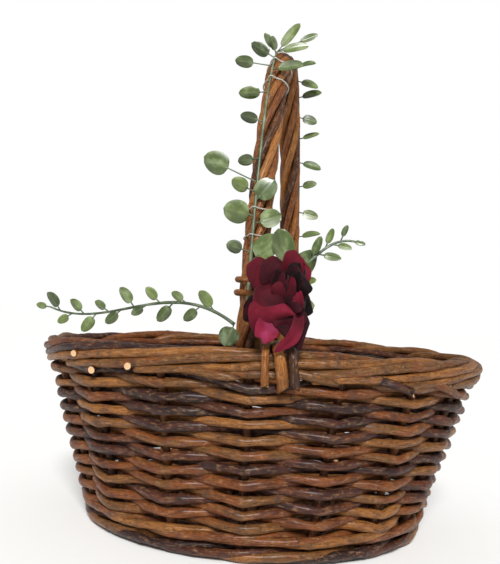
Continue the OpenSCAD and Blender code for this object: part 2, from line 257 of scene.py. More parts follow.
class Material:
    """A Principled material and short ways to add nodes to it."""

    def __init__(self, name, **constants):
        self.mat = bpy.data.materials.new(name)
        self.mat.use_nodes = True
        self.tree = self.mat.node_tree
        self.shader = self.tree.nodes["Principled BSDF"]
        for key, value in constants.items():
            self.shader.inputs[key.replace("_", " ")].default_value = value

    def node(self, kind, *values, **settings):
        n = self.tree.nodes.new("ShaderNode" + kind)
        for key, value in settings.items():
            setattr(n, key, value)
        for i, value in enumerate(values):
            self.put(n.inputs[i], value)
        return n

    def put(self, socket, value):
        if isinstance(value, bpy.types.NodeSocket):
            self.tree.links.new(value, socket)
        elif value is not None:
            socket.default_value = value

    def attribute(self, name):
        n = self.tree.nodes.new("ShaderNodeAttribute")
        n.attribute_name = name
        return n.outputs["Vector" if name == "rod_space" else "Fac"]

    def math(self, operation, *values):
        return self.node("Math", *values, operation=operation).outputs[0]

    def stretched(self, vector, x, y, z, shift=None):
        """The vector times (x, y, z), moved by shift, so that each rod has its own pattern."""
        out = self.node("VectorMath", vector, (x, y, z), operation="MULTIPLY").outputs[0]
        if shift is not None:
            far = self.node("VectorMath", (137, 59, 211), operation="SCALE")
            self.put(far.inputs["Scale"], shift)
            out = self.node("VectorMath", out, far.outputs[0], operation="ADD").outputs[0]
        return out

    def noise(self, vector, scale=1.0, detail=3.0, rough=0.55):
        n = self.node("TexNoise")
        for key, value in (("Vector", vector), ("Scale", scale), ("Detail", detail),
                           ("Roughness", rough)):
            self.put(n.inputs[key], value)
        return n.outputs["Fac"]

    def spread(self, value, low, high, to_low=0.0, to_high=1.0):
        n = self.node("MapRange", value, low, high, to_low, to_high)
        return n.outputs[0]

    def ramp(self, value, *stops):
        n = self.node("ValToRGB", value)
        items = n.color_ramp.elements
        for _ in range(len(stops) - 2):
            items.new(0.5)
        for item, (place, tint) in zip(items, stops):
            item.position, item.color = place, colour(tint)
        return n.outputs[0]

    def mix(self, share, a, b, kind="MIX"):
        n = self.tree.nodes.new("ShaderNodeMix")
        n.data_type, n.blend_type = "RGBA", kind
        self.put(n.inputs[0], share)
        self.put(n.inputs[6], a)
        self.put(n.inputs[7], b)
        return n.outputs[2]

    def bump(self, height, strength, distance, over=None):
        n = self.tree.nodes.new("ShaderNodeBump")
        n.inputs["Strength"].default_value = strength
        n.inputs["Distance"].default_value = distance * MM
        self.put(n.inputs["Height"], height)
        if over is not None:
            self.put(n.inputs["Normal"], over)
        return n.outputs[0]

    def finish(self, base=None, roughness=None, normal=None):
        for key, value in (("Base Color", base), ("Roughness", roughness), ("Normal", normal)):
            self.put(self.shader.inputs[key], value)
        return self.mat


def bark(name, stops, patch=0.5, coat=0.22):
    """Lacquered willow bark: each rod has its own brown, with patches, streaks and knots."""
    m = Material(name, Coat_Weight=coat, Coat_Roughness=0.30, Specular_IOR_Level=0.28)
    rod, tone, knot_vein_painted_shade = m.attribute("rod_space"), m.attribute("tone"), m.attribute("knot_vein_painted_shade")
    patches = m.noise(m.stretched(rod, 0.045, 0.14, 0.14, tone), 1.0, 5.0, 0.72)
    streaks = m.noise(m.stretched(rod, 0.11, 1.3, 1.3, tone), 1.0, 5.0, 0.7)
    grain = m.noise(m.stretched(rod, 0.55, 2.0, 2.0, tone), 1.0, 4.0, 0.7)
    scuffs = m.noise(m.stretched(rod, 0.22, 0.55, 0.55, tone), 1.0, 5.0, 0.75)
    flecks = m.noise(m.stretched(rod, 0.8, 1.1, 1.1, tone), 1.0, 2.0, 0.5)
    spread = m.math("MULTIPLY", m.math("SUBTRACT", patches, 0.5), patch * 2.2)
    place = m.math("ADD", tone, spread)
    base = m.ramp(place, *stops)
    shade = m.ramp(streaks, (0.30, "#4a3a32"), (0.48, "#cabcb0"), (0.64, "#ffffff"))
    base = m.mix(0.85, base, shade, "MULTIPLY")
    pale = m.math("MULTIPLY", m.spread(scuffs, 0.52, 0.68), 0.55)
    base = m.mix(pale, base, colour("#b88d62"))
    bloom = m.spread(m.noise(m.stretched(rod, 0.06, 0.30, 0.30, tone), 1.0, 4.0), 0.60, 0.74)
    base = m.mix(m.math("MULTIPLY", bloom, 0.30), base, colour("#7c6470"))
    dark = m.math("MULTIPLY", m.spread(flecks, 0.60, 0.70), 0.75)
    base = m.mix(dark, base, colour("#1c0c07"))
    base = m.mix(m.math("MULTIPLY", knot_vein_painted_shade, 0.6), base, colour("#3a2721"))
    rough = m.spread(streaks, 0.3, 0.7, 0.66, 0.30)
    height = m.math("ADD", m.math("MULTIPLY", streaks, 0.9), m.math("MULTIPLY", grain, 0.6))
    height = m.math("SUBTRACT", m.math("ADD", height, m.math("MULTIPLY", scuffs, 0.5)),
                    m.math("MULTIPLY", dark, 0.6))
    return m.finish(base, rough, m.bump(height, 1.0, 1.1))


def cut_wood():
    """The pale cut end of a rod, with faint rings and a dirty rim."""
    m = Material("cut_end_wood", Specular_IOR_Level=0.3)
    rod = m.attribute("rod_space")
    across = m.stretched(rod, 0.0, 1.0, 1.0)
    far = m.node("VectorMath", across, operation="LENGTH").outputs["Value"]
    rings = m.math("SINE", m.math("MULTIPLY", far, 9.0))
    grain = m.noise(m.stretched(rod, 0.3, 3.0, 3.0), 1.0, 3.0)
    base = m.ramp(m.math("ADD", grain, m.math("MULTIPLY", rings, 0.12)),
                  (0.25, "#a97c50"), (0.5, "#d9b084"), (0.8, "#ecd0a8"))
    rim = m.spread(far, 1.9, 2.9)
    base = m.mix(m.math("MULTIPLY", rim, 0.6), base, colour("#7a4a2c"))
    return m.finish(base, m.spread(grain, 0.3, 0.7, 0.6, 0.8), m.bump(grain, 0.5, 0.3))


BROWNS = ((0.0, "#2f1412"), (0.18, "#4c2216"), (0.36, "#713b18"), (0.55, "#96531c"),
          (0.72, "#7d5526"), (0.85, "#94602a"), (1.0, "#b07434"))
HANDLE_BROWNS = ((0.05, "#4d2a11"), (0.35, "#874c1c"), (0.65, "#a66426"), (0.95, "#bd7d3a"))
STAKE_BROWNS = ((0.05, "#45230f"), (0.5, "#7b421c"), (0.95, "#945c2c"))
BARK = bark("willow_bark", BROWNS, 0.62, 0.30)
HANDLE_BARK = bark("willow_handle_bark", HANDLE_BROWNS, 0.35, 0.25)
STAKE_BARK = bark("willow_stake_bark", STAKE_BROWNS, 0.4, 0.15)
CUT = cut_wood()


def green_plastic(name, low, mid, high, bloom, coat=0.35):
    """Moulded leaf or stem: rod_space holds the place along and across the leaf."""
    m = Material(name, Coat_Weight=coat, Coat_Roughness=0.22, Specular_IOR_Level=0.5)
    rod, tone = m.attribute("rod_space"), m.attribute("tone")
    cloudy = m.noise(m.stretched(rod, 0.12, 0.16, 0.16, tone), 1.0, 4.0)
    fine = m.noise(m.stretched(rod, 1.6, 1.6, 1.6, tone), 1.0, 3.0)
    vein = m.attribute("knot_vein_painted_shade")
    base = m.ramp(m.math("ADD", m.math("MULTIPLY", cloudy, 0.7), m.math("MULTIPLY", tone, 0.35)),
                  (0.3, low), (0.5, mid), (0.75, high))
    base = m.mix(m.math("MULTIPLY", m.spread(cloudy, 0.5, 0.7), bloom), base, colour("#c3cdb4"))
    base = m.mix(m.math("MULTIPLY", vein, 0.15), base, colour("#a9b682"))
    height = m.math("SUBTRACT", m.math("MULTIPLY", fine, 0.3), m.math("MULTIPLY", vein, 0.6))
    return m.finish(base, m.spread(cloudy, 0.3, 0.7, 0.34, 0.52), m.bump(height, 0.35, 0.25))


LEAF = green_plastic("leaf_plastic", "#2f3d17", "#4a5b25", "#6a7b38", 0.20, 0.6)
STEM = green_plastic("stem_plastic", "#2f3c26", "#46553a", "#5f6d50", 0.25, 0.1)


def petal_cloth():
    """Starched burgundy cloth with a fine weave, darkened towards the petal's foot by painted shade."""
    m = Material("petal_cloth", Specular_IOR_Level=0.15, Sheen_Weight=0.05, Sheen_Roughness=0.4)
    rod, tone, foot = m.attribute("rod_space"), m.attribute("tone"), m.attribute("knot_vein_painted_shade")
    cloudy = m.noise(m.stretched(rod, 0.10, 0.10, 0.10, tone), 1.0, 4.0)
    veins = m.noise(m.stretched(rod, 0.10, 1.1, 0.6, tone), 1.0, 3.0)
    place = m.math("ADD", m.math("MULTIPLY", cloudy, 0.35), m.math("MULTIPLY", tone, 0.65))
    # tone picks the red from near black to pink; its near-black end is also the painted shade given to
    # petals towards the right
    base = m.ramp(place, (0.16, "#0d0204"), (0.36, "#3a0512"), (0.54, "#5f0c1d"), (0.68, "#801a35"),
                  (0.84, "#a54470"))
    # painted shade: near black mixed in towards each petal's foot, where it lies deep among the others
    base = m.mix(m.math("MULTIPLY", foot, 0.9), base, colour("#160307"))
    weave = m.node("TexWave")
    m.put(weave.inputs["Vector"], m.stretched(rod, 2.6, 2.6, 2.6))
    weave.inputs["Scale"].default_value = 1.0
    weave.bands_direction = "DIAGONAL"
    height = m.math("ADD", m.math("MULTIPLY", weave.outputs["Fac"], 0.25), veins)
    return m.finish(base, m.spread(veins, 0.3, 0.7, 0.62, 0.80), m.bump(height, 0.30, 0.35))


PETAL = petal_cloth()


def clear_plastic():
    m = Material("clear_tie_plastic", Transmission_Weight=0.55, Coat_Weight=0.4, IOR=1.47)
    rod = m.attribute("rod_space")
    cloudy = m.noise(m.stretched(rod, 0.5, 0.8, 0.8), 1.0, 3.0)
    base = m.ramp(cloudy, (0.3, "#cfd3cb"), (0.7, "#f2f4ee"))
    return m.finish(base, m.spread(cloudy, 0.3, 0.7, 0.10, 0.28), m.bump(cloudy, 0.4, 0.3))


CLEAR = clear_plastic()

# ---- the woven wall ---------------------------------------------------------------------
SWING = STAKE_R + WEAVER_R - 0.3
DIP_INSIDE = 0.7
HANDLE_FOOT_DIP = 5.0        # how far the handle's rods press down the top rows
LASHINGS_X = 14              # the middle of the rods lashed beside the front leg
SMILE_OUT = 2.4              # how far they push the top row's dark rod outwards
SMILE_TONE = 0.02


def weave_path(z, side, t, rng):
    """Where a weaver of the row at height z lies at angles t. side is 1 or -1."""
    phase = STAKES / 2 * (t + TAU / 4)
    wave = np.cos(phase)
    swing = side * (0.55 * wave + 0.45 * np.arcsin(0.97 * wave) / math.asin(0.97))
    s = t * 140
    stake = np.round(STAKES * (t + TAU / 4) / TAU).astype(int)
    depth = rng.uniform(0.7, 2.8, 8 * STAKES)[stake % (8 * STAKES)]
    near = np.abs(phase / math.pi - stake)
    outside = np.where(swing > 0, 1 - np.tanh(3.2 * near) / math.tanh(1.6), 0)
    inside = np.maximum(-swing, 0) ** 1.5
    height = z + 0.7 - depth * outside - DIP_INSIDE * inside + wander(rng, s, 150, 0.5)
    return height, SWING * swing + wander(rng, s, 110, 0.35)


def handle_foot_dip(path, z):
    """The top rows bow down under the rods that lash the handle to the front and back."""
    near = np.exp(-(((path[:, 0] - LASHINGS_X) / 24) ** 2))
    deep = np.clip((z - BORDER_Z + 22) / 20, 0, 1) ** 2
    path[:, 2] -= HANDLE_FOOT_DIP * near * deep
    return path


def inner_stakes(side):
    """The stakes that this side's rows pass behind, as seen from outside."""
    return [k for k in range(STAKES) if side * (1 if k % 2 == 0 else -1) < 0]


def make_row(index, name):
    """One row of weaving: two or three tapering rods whose ends are tucked behind stakes."""
    rng = draws(name)
    lo, hi = box_mm(name)
    z = (lo[2] + hi[2]) / 2
    side = 1 if index % 2 == 1 else -1
    behind = inner_stakes(side)
    rods = 2 if rng.uniform() < 0.4 else 3
    first = int(rng.integers(len(behind)))
    breaks = [first + round(len(behind) * j / rods) for j in range(rods + 1)]
    mesh = Mesh()
    for j in range(rods):
        a = stake_angle(behind[0]) + TAU / len(behind) * breaks[j]
        b = stake_angle(behind[0]) + TAU / len(behind) * breaks[j + 1]
        lap = rng.uniform(0.06, 0.13, 2)
        t = np.linspace(a - lap[0], b + lap[1], int((b - a + sum(lap)) * 75))
        height, off = weave_path(z, side, t, rng)
        run = np.abs(t - t[0]) * 140, np.abs(t[-1] - t) * 140
        off -= 3.6 * np.clip(1 - run[0] / 22, 0, 1) + 1.0 * np.clip(1 - run[1] / 22, 0, 1)
        path = handle_foot_dip(on_wall(t, height, off), z)
        tone = None
        beside = path[:, 0] - LASHINGS_X
        if index == len(ROWS) and abs(beside).min() < 20 and path[:, 1].min() < -60:
            front = np.exp(-((beside / 26) ** 4)) * (path[:, 1] < 0)
            path[:, 1] -= SMILE_OUT * front
            tone = SMILE_TONE
        radius = WEAVER_R * rng.uniform(0.95, 1.12) * np.linspace(1.10, 0.86, len(t))
        mesh.rod(path, radius, rng, tone=tone, squash=0.95, rough=0.085)
    mesh.piece(name, [BARK, CUT], "willow_weave", [name])


def make_stakes():
    """The upright stakes, four to a quarter, a little crooked, pushed down into the base."""
    quarters = ("front_right", "back_right", "back_left", "front_left")
    for q, quarter in enumerate(quarters):
        name = "side_stakes_" + quarter
        rng, mesh = draws(name), Mesh()
        for k in range(4 * q, 4 * q + 4):
            z = np.linspace(STAKE_FOOT_Z, RIM_Z - 7, 60)
            path = on_wall(np.full(60, stake_angle(k)), z, wander(rng, z, 90, 0.25))
            mesh.rod(path, STAKE_R * np.linspace(1.0, 0.9, 60), rng, knots=0.02)
        mesh.piece(name, [STAKE_BARK, CUT], "willow_stakes", [name])


# ---- foot and base ----------------------------------------------------------------------
def make_foot_wale():
    """Two rounds of three rods. Each passes outside two stakes, rising, and inside the third."""
    rng, mesh = draws("foot_wale"), Mesh()
    tall = box_mm("foot_wale")[1][2]
    for level in range(2):
        for strand in range(3):
            t = np.linspace(0, TAU, 1100) + 0.4 * strand
            u = np.mod(STAKES * (t + TAU / 4) / TAU + 0.5 + strand + level, 3)
            off = smooth_along(u, [-0.5, 0.0, 0.45, 1.55, 2.0, 2.5, 3.0, 3.45],
                               [-5.4, -0.5, 5.4, 5.7, 0.5, -5.4, -0.5, 5.4])
            rise = smooth_along(u, [-1.0, 0.0, 2.0, 3.0, 5.0], [7.2, 2.9, 7.3, 2.9, 7.3])
            height = tall / 2 * level + rise + wander(rng, t * 130, 90, 0.35)
            radius = 2.75 * rng.uniform(0.92, 1.08) * (1 + wander(rng, t * 130, 300, 0.05))
            path = on_wall(t, height, off)
            path[:, 2] = np.maximum(path[:, 2], radius + 0.9)
            mesh.rod(path, radius, rng, sides=12)
    mesh.piece("foot_wale", [BARK, CUT], "willow_weave", ["foot_wale"])


STICK_R = 2.9
STICK_GAP = 6.6
CROSS_GAP = 11.0
BASE_EDGE = box_mm("base_weave_upper")[1][:2]


def edge_point(t):
    t = uneven(t)
    return np.array([BASE_EDGE[0] * math.cos(t), BASE_EDGE[1] * math.sin(t), BASE_Z])


def fanned(middle_a, middle_b, end_a, end_b):
    return resample(np.array([end_a, middle_a, middle_b, end_b], float), 3.0)


def base_sticks():
    """The middle lines of the long sticks and of the cross sticks."""
    reach, half = 2.8 * CROSS_GAP, 2 * STICK_GAP
    step = TAU / STAKES
    long_ones = [fanned([reach, k * STICK_GAP, BASE_Z], [-reach, k * STICK_GAP, BASE_Z],
                        edge_point(k * step), edge_point(TAU / 2 - k * step)) for k in (-1, 0, 1)]
    cross = [fanned([k * CROSS_GAP, half, BASE_Z], [k * CROSS_GAP, -half, BASE_Z],
                    edge_point(TAU / 4 - k * step), edge_point(k * step - TAU / 4))
             for k in (-2, -1, 0, 1, 2)]
    return long_ones, cross


def make_base():
    long_ones, cross = base_sticks()
    rng, mesh = draws("base_sticks_long"), Mesh()
    for path in long_ones:
        mesh.rod(path, STICK_R, rng, knots=0.02)
    mesh.piece("base_sticks_long", [STAKE_BARK, CUT], "willow_stakes", ["base_sticks_long"])
    rng, mesh = draws("base_sticks_cross"), Mesh()
    for path in cross:
        inner = np.abs(path[:, 1]) < 2 * STICK_GAP - 1
        reach = np.abs(path[:, 1]) >= STICK_GAP + 4
        tone = rng.uniform()
        for part in (path[:, 1] > STICK_GAP + 4, path[:, 1] < -STICK_GAP - 4):
            mesh.rod(path[part & reach], STICK_R, rng, tone=tone, knots=0.02)
        for lift in (1, -1):
            half = path[inner].copy()
            half = resample(half, 1.5)
            arch = np.clip(1 - (np.abs(half[:, 1]) / (2 * STICK_GAP)) ** 4, 0, 1)
            half[:, 2] += lift * (1.2 + 2.6 * arch)
            mesh.rod(half, 2.6, rng, tone=tone, squash=0.36, cut=0.1)
    mesh.piece("base_sticks_cross", [STAKE_BARK, CUT], "willow_stakes", ["base_sticks_cross"])
    make_base_weave(long_ones + cross)


def crossings(paths, half):
    """The angles, in order, at which sticks cross the oval of half-sizes half."""
    found = []
    for path in paths:
        q = (path[:, 0] / half[0]) ** 2 + (path[:, 1] / half[1]) ** 2 - 1
        for i in np.nonzero(np.diff(np.sign(q)))[0]:
            f = q[i] / (q[i] - q[i + 1])
            p = path[i] + f * (path[i + 1] - path[i])
            found.append(math.atan2(p[1] / half[1], p[0] / half[0]))
    return np.sort(found)


def make_base_weave(sticks):
    """Rods in pairs, one over a stick and one under it, changing places between sticks."""
    rounds, pitch, r = 11, 6.5, 1.85
    upper, lower = Mesh(), Mesh()
    rng = draws("base_weave")
    for k in range(rounds):
        half = BASE_EDGE - 2.3 - pitch * k
        at = crossings(sticks, half * 0.995)
        n = len(at)
        turns = np.arange(n + 1)
        marks = np.append(at, at[0] + TAU)
        t = np.linspace(at[0], at[0] + TAU, int(80 + 5 * half[0]))
        phase = np.interp(t, marks, turns) * math.pi
        for strand, mesh in ((0, upper), (1, lower)):
            p = phase + math.pi * strand
            off = 1.55 * np.sin(p)
            high = BASE_Z + 4.85 * np.sign(np.cos(p)) * np.abs(np.cos(p)) ** 0.7
            high += wander(rng, t * 60, 50, 0.12)
            path = np.stack([(half[0] + off) * np.cos(t), (half[1] + off) * np.sin(t), high], -1)
            mesh.rod(path, r, rng, sides=8, knots=0.006, rough=0.05)
    upper.piece("base_weave_first_rods", [BARK, CUT], "willow_weave", ["base_weave_upper"])
    lower.piece("base_weave_second_rods", [BARK, CUT], "willow_weave", ["base_weave_lower"])


# Rod ends that poke out through the border: how many stakes along, and their height.
POKED_OUT = [(-2.09, 125.4), (-1.29, 120.2), (-1.82, 115.2), (5.2, 121), (7.3, 123), (9.4, 120),
             (11.6, 122)]


# Short tails tucked under the border: where each starts and ends, in stakes along and height.
TUCKED_TAILS = [(0.30, 124, 0.82, 118.6), (1.15, 124, 1.86, 114), (2.0, 122, 2.75, 111.5),
                (-0.75, 121, -0.18, 117.5), (7.4, 123, 8.1, 116), (9.7, 123, 10.3, 115)]


# ---- border -----------------------------------------------------------------------------
def make_border():
    """Each stake's top is bent to the left, passes inside its neighbour and then over the rim,
    and goes slowly down the outside to a cut end."""
    steps = [-0.30, 0.0, 0.30, 0.9, 1.4, 1.9, 2.7, 3.1, 3.9, 4.6]
    offs = [0.0, -0.8, -3.8, -4.0, 0.8, 5.4, 6.5, 6.6, 6.7, 7.0]
    rises = [-16.0, -9.5, -4.6, -2.7, -2.2, -4.6, -8.2, -11.2, -14.8, -18.4]
    rng, mesh = draws("border_rods"), Mesh()
    for k in range(STAKES):
        s = np.linspace(steps[0], steps[-1] + rng.uniform(-0.5, 0.05), 150)
        t = stake_angle(k) - TAU / STAKES * s
        off = smooth_along(s, steps, offs) + wander(rng, s * 50, 110, 0.5)
        z = RIM_Z + smooth_along(s, steps, rises) + wander(rng, s * 50, 120, 0.7)
        radius = 3.2 * np.linspace(1.04, 0.86, len(s)) * rng.uniform(0.93, 1.07)
        tone = rng.uniform(0.42, 1.0) if rng.uniform() < 0.85 else rng.uniform(0, 0.3)
        mesh.rod(on_wall(t, z, off), radius, rng, tone=tone, knots=0.016, cut=0.9)
    for at, z in POKED_OUT:
        t = stake_angle(at)
        ends = on_wall(np.array([t - 0.05, t]), np.array([z + 1.5, z]), np.array([-2.0, 11.5]))
        mesh.rod(resample(ends, 1.0), 2.35, rng, knots=0, cut=0.15)
    for at, z, to, low in TUCKED_TAILS:
        s = np.linspace(0, 1, 40)
        t = stake_angle(at + (to - at) * s)
        path = on_wall(t, z + (low - z) * s**1.2, 3.5 + 5.2 * np.sin(s * 1.9))
        mesh.rod(path, 3.0 * np.linspace(1.0, 0.95, 40), rng, cut=2.2)
    mesh.piece("border_rods", [BARK, CUT], "willow_border",
               ["border_top", "border_outer_upper", "border_outer_lower"])
    for level, name in ((0, "border_inner_lower"), (1, "border_inner_upper")):
        rng, mesh = draws(name), Mesh()
        lo, hi = box_mm(name)
        for j in range(3):
            t = np.linspace(0, TAU / 3 + 0.16, 150) + TAU / 3 * j + 0.5 + 0.7 * level
            ends = np.minimum(np.arange(150), np.arange(149, -1, -1)) / 12
            off = -6.0 - 2.2 * np.clip(1 - ends, 0, 1) * (j % 2 * 2 - 1)
            z = (lo[2] + hi[2]) / 2 + wander(rng, t * 140, 130, 0.6)
            mesh.rod(on_wall(t, z, off), 2.85, rng)
        mesh.piece(name, [BARK, CUT], "willow_border", [name])


def smooth_along(s, steps, values):
    """Reads values at s with rounded corners."""
    fine = np.linspace(steps[0] - 0.5, steps[-1] + 0.5, 600)
    line = np.interp(fine, steps, values)
    width = 41
    kernel = np.hanning(width)
    line = np.convolve(np.pad(line, width // 2, mode="edge"), kernel / kernel.sum(), mode="valid")
    return np.interp(s, fine, line)


# ---- handle -----------------------------------------------------------------------------
TURN = math.radians(4)
ACROSS = np.array([math.cos(TURN), -math.sin(TURN), 0])
ALONG = np.array([math.sin(TURN), math.cos(TURN), 0])
ROD_R = 2.85
ROPE_R = 6.1
BUNDLE_R = ROPE_R + ROD_R
BOW_LO, BOW_HI = box_mm("handle_bow")
BOW_TOP = BOW_HI[2] - ROD_R
BOW_FOOT = BOW_LO[2]
HANDLE_X = 10.0
HALF_WIDTH = 88.0
LEG_FOOT_Y = 86.0
BOW_POWER = 1.6


def in_plane(y, z):
    y, z = np.broadcast_arrays(np.asarray(y, float), z)
    return np.array([HANDLE_X, 0, 0]) + y[..., None] * ALONG + z[..., None] * np.array([0, 0, 1])


def bow(a):
    """The bow's middle line above the rim at angle a in degrees, from front to back."""
    a = np.radians(a)
    return in_plane(-HALF_WIDTH * np.cos(a),
                    135 + (BOW_TOP - 135) * np.abs(np.sin(a)) ** BOW_POWER)


def handle_line(low):
    down = np.linspace(low, 133, 14)
    y = LEG_FOOT_Y + (HALF_WIDTH - LEG_FOOT_Y) * (down - BOW_FOOT) / (135 - BOW_FOOT)
    arch = bow(np.linspace(0, 180, 150))
    return resample(np.concatenate([in_plane(-y, down), arch, in_plane(y, down)[::-1]]), 3.0)


def around(line, away, angle):
    """The line moved off by away at angle, measured from across the handle's plane."""
    tangent = unit(np.gradient(line, axis=0))
    side = np.cross(ACROSS, tangent)
    away = np.broadcast_to(away, len(line))[:, None]
    return line + away * (np.cos(angle)[:, None] * ACROSS + np.sin(angle)[:, None] * side)


def make_handle():
    rng, mesh = draws("handle_bow"), Mesh()
    mesh.rod(handle_line(BOW_FOOT), ROD_R, rng)
    mesh.piece("handle_bow", [HANDLE_BARK, CUT], "willow_handle", ["handle_bow"])
    for i in range(1, 7):
        name = f"handle_roped_rod_{i}"
        rng, mesh = draws(name), Mesh()
        line = handle_line(box_mm(name)[0][2])
        s = run_length(line)
        angle = TAU / 6 * i - TAU * 3.6 * s / s[-1] + wander(rng, s, 160, 0.10)
        away = ROPE_R + 0.1 + wander(rng, s, 140, 0.25)
        radius = ROD_R * rng.uniform(0.94, 1.08) * np.linspace(1.04, 0.94, len(s))
        mesh.rod(around(line, away, angle), radius, rng, knots=0.006)
        mesh.piece(name, [HANDLE_BARK, CUT], "willow_handle", [name])


def make_bindings():
    """A thin rod wound twice round each leg above the rim."""
    for name, low, high in (("handle_binding_front", 17, 23), ("handle_binding_back", 163, 157)):
        rng, mesh = draws(name), Mesh()
        a = np.linspace(low, high, 120)
        line = bow(a)
        turn = np.linspace(-0.6, TAU * 2.1 - 0.6, 120)
        away = BUNDLE_R + 1.9 + 0.3 * np.sin(turn * 1.7)
        mesh.rod(around(line, away, turn), np.linspace(2.2, 1.7, 120), rng, tone=0.62)
        mesh.piece(name, [HANDLE_BARK, CUT], "willow_handle", [name])


def rounded(corners, step=1.5, width=9):
    """A path through corners, its turns softened."""
    path = resample(np.array(corners, float), step)
    kernel = np.hanning(width)
    kernel /= kernel.sum()
    pad = np.concatenate([np.repeat(path[:1], width // 2, 0), path,
                          np.repeat(path[-1:], width // 2, 0)])
    soft = np.stack([np.convolve(pad[:, i], kernel, mode="valid") for i in range(3)], -1)
    soft[0], soft[-1] = path[0], path[-1]
    return soft


# Each lashing rod beside a leg: its place, how far it leans, its thickness and its brown.
LASHINGS = ((1.5, 0.5, 1.0, 0.75), (8.5, 4.0, 1.45, 0.9), (17.0, 3.0, 1.15, 0.02))


def make_lashings():
    """Three rods over the border beside each leg, pushed into the weave at both ends."""
    for name, sign in (("handle_lashing_front", -1), ("handle_lashing_back", 1)):
        rng, mesh = draws(name), Mesh()
        lo, hi = box_mm(name)
        r = 2.4
        y_in, y_out = (hi[1], lo[1]) if sign < 0 else (lo[1], hi[1])
        y_in, y_out = y_in + sign * r, y_out - sign * r * 0.6
        top, low = hi[2] - r, lo[2]
        for start, lean, thick, tone in LASHINGS:
            x = lo[0] + r + start if sign < 0 else hi[0] - r - start
            lean = -sign * lean
            path = rounded([[x - lean, y_in, low + 6], [x - lean, y_in, top - 1],
                            [x - lean / 2, y_in + sign * 4, top], [x, y_out - sign * 5, top],
                            [x + lean / 2, y_out, top - 5], [x + lean, y_out, low + 7],
                            [x + lean * 1.1, y_out - sign * 5, low - 1]], width=7)
            mesh.rod(path, r * thick * np.linspace(0.95, 1.08, len(path)), rng, tone=tone, cut=1.2)
        mesh.piece(name, [HANDLE_BARK, CUT], "willow_handle", [name])


# ---- garland ----------------------------------------------------------------------------
VINE_R = 1.1
BACK_VINE_SIDE = math.radians(50)
STEM_SIDE = TAU / 4 + 0.2     # where the front stem lies round the handle's bundle
FRONT_LEAVES = [
    [24.5, 3, 46, 80, 20, 16, 4.5], [26.5, 180, 16, 80, 11, 9, 6], [32, 4, 20, 78, 15, 13, 4],
    [33.5, 182, 12, 78, 18, 16, 3], [36.4, 4, 52, 82, 17, 15, 2], [38, 178, 25, 74, 13, 10, 6],
    [40, 180, 24, 78, 19, 16, 22], [45, 182, -12, 66, 11, 8, 4], [53, 181, 15, 66, 13, 8, 4],
    [61, 182, -4, 70, 16, 9, 5], [69, 358, 8, 66, 19, 10, 4], [70.5, 182, 8, 66, 14, 9, 14],
    [75, 178, 32, 72, 16, 10, 5], [77.5, 172, 74, 72, 12, 6, 3], [78.8, 176, 58, 72, 13, 6, 5],
    [80.2, 2, 15, 68, 20, 9, 4], [81.4, 4, 54, 76, 23, 8, 4], [82.6, 8, 26, 80, 15, 6, 18]]
LEFT_SPRIG = [[-4, -104, 150], [-50, -96, 182], [-95, -80, 138], [-145, -64, 154]]
RIGHT_SPRIG = [[30, -98, 184], [46, -94, 192], [52, -90, 214], [76, -85, 206]]


def front_vine(a):
    a = np.atleast_1d(np.asarray(a, float))
    tangent = unit(bow(a + 0.5) - bow(a - 0.5))
    out = np.cross(ACROSS, tangent)
    lean = 3 * np.sin(np.radians(a))[:, None]
    return bow(a) + out * (BUNDLE_R + VINE_R + 0.6) - ACROSS * lean


def back_vine(a):
    a = np.atleast_1d(np.asarray(a, float))
    out = np.cross(ACROSS, unit(bow(a + 0.5) - bow(a - 0.5)))
    side = math.cos(BACK_VINE_SIDE) * ACROSS + math.sin(BACK_VINE_SIDE) * out
    return bow(a) + side * (BUNDLE_R + VINE_R + 0.6)


def leaf_points(length, width, cup, curl, rng):
    """A leaf's upper face, growing along +X from its foot, with a raised rim and a dented vein."""
    u = np.linspace(0, 1, 15)[:, None]
    v = np.linspace(-1, 1, 11)[None]
    half = width / 2 * (1 - np.abs(2 * u - 1) ** 2.1) ** 0.52 * (1 - 0.10 * (2 * u - 1))
    x = length * u + 0 * v
    y = half * v
    z = cup * width * (v**2) * 0.9 * np.sin(np.pi * u) ** 0.5 - curl * length * (u - 0.3) ** 2
    z = z - 0.35 * np.exp(-((v / 0.10) ** 2)) * np.sin(np.pi * u)
    z = z + 0.02 * width * np.sin(5 * u + rng.uniform(0, TAU)) * v
    points = np.stack([x, y, z], -1)
    vein = np.exp(-((v / 0.11) ** 2)) * (1 - 0.5 * u)
    return points, np.broadcast_to(vein, x.shape)


def leaf(mesh, foot, yaw, pitch, roll, length, width, rng, stalk=3.0):
    """One moulded leaf and its stalk at foot, pointed and rolled as in the CAD model."""
    turn = (Matrix.Rotation(math.radians(yaw), 3, "Z") @ Matrix.Rotation(math.radians(-pitch), 3, "Y")
            @ Matrix.Rotation(math.radians(roll), 3, "X"))
    turn = np.array(turn)
    points, vein = leaf_points(length, width, rng.uniform(0.05, 0.16), rng.uniform(-0.1, 0.25), rng)
    start = VINE_R + stalk - 0.6
    space = points.copy()
    tone = rng.uniform()
    thick = 0.28
    for lift, flip in ((thick, False), (-thick, True)):
        sheet = points + [start, 0, 0]
        edge = 1 - (1 - np.abs(np.linspace(-1, 1, points.shape[1]))[None] ** 6)
        sheet[..., 2] += lift * (1 - 0.6 * edge)
        placed = foot + sheet @ turn.T
        order = placed[:, ::-1] if flip else placed
        mesh.grid(order, space[:, ::-1] if flip else space, tone, 0,
                  (vein[:, ::-1] if flip else vein).reshape(-1))
    line = np.array([[0.3, 0, 0], [start + length * 0.12, 0, 0]])
    mesh.rod(foot + resample(line, 1.2) @ turn.T, 0.5, rng, sides=8, knots=0, slot=1, cut=0)


def stem(name, path, node):
    rng, mesh = draws(name), Mesh()
    path = resample(path, 2.0)
    mesh.rod(path, VINE_R * np.linspace(1.05, 0.6, len(path)), rng, sides=10, knots=0.05, cut=0.2,
             end_slot=0)
    mesh.piece(name, [STEM], "vine_stem", [node])


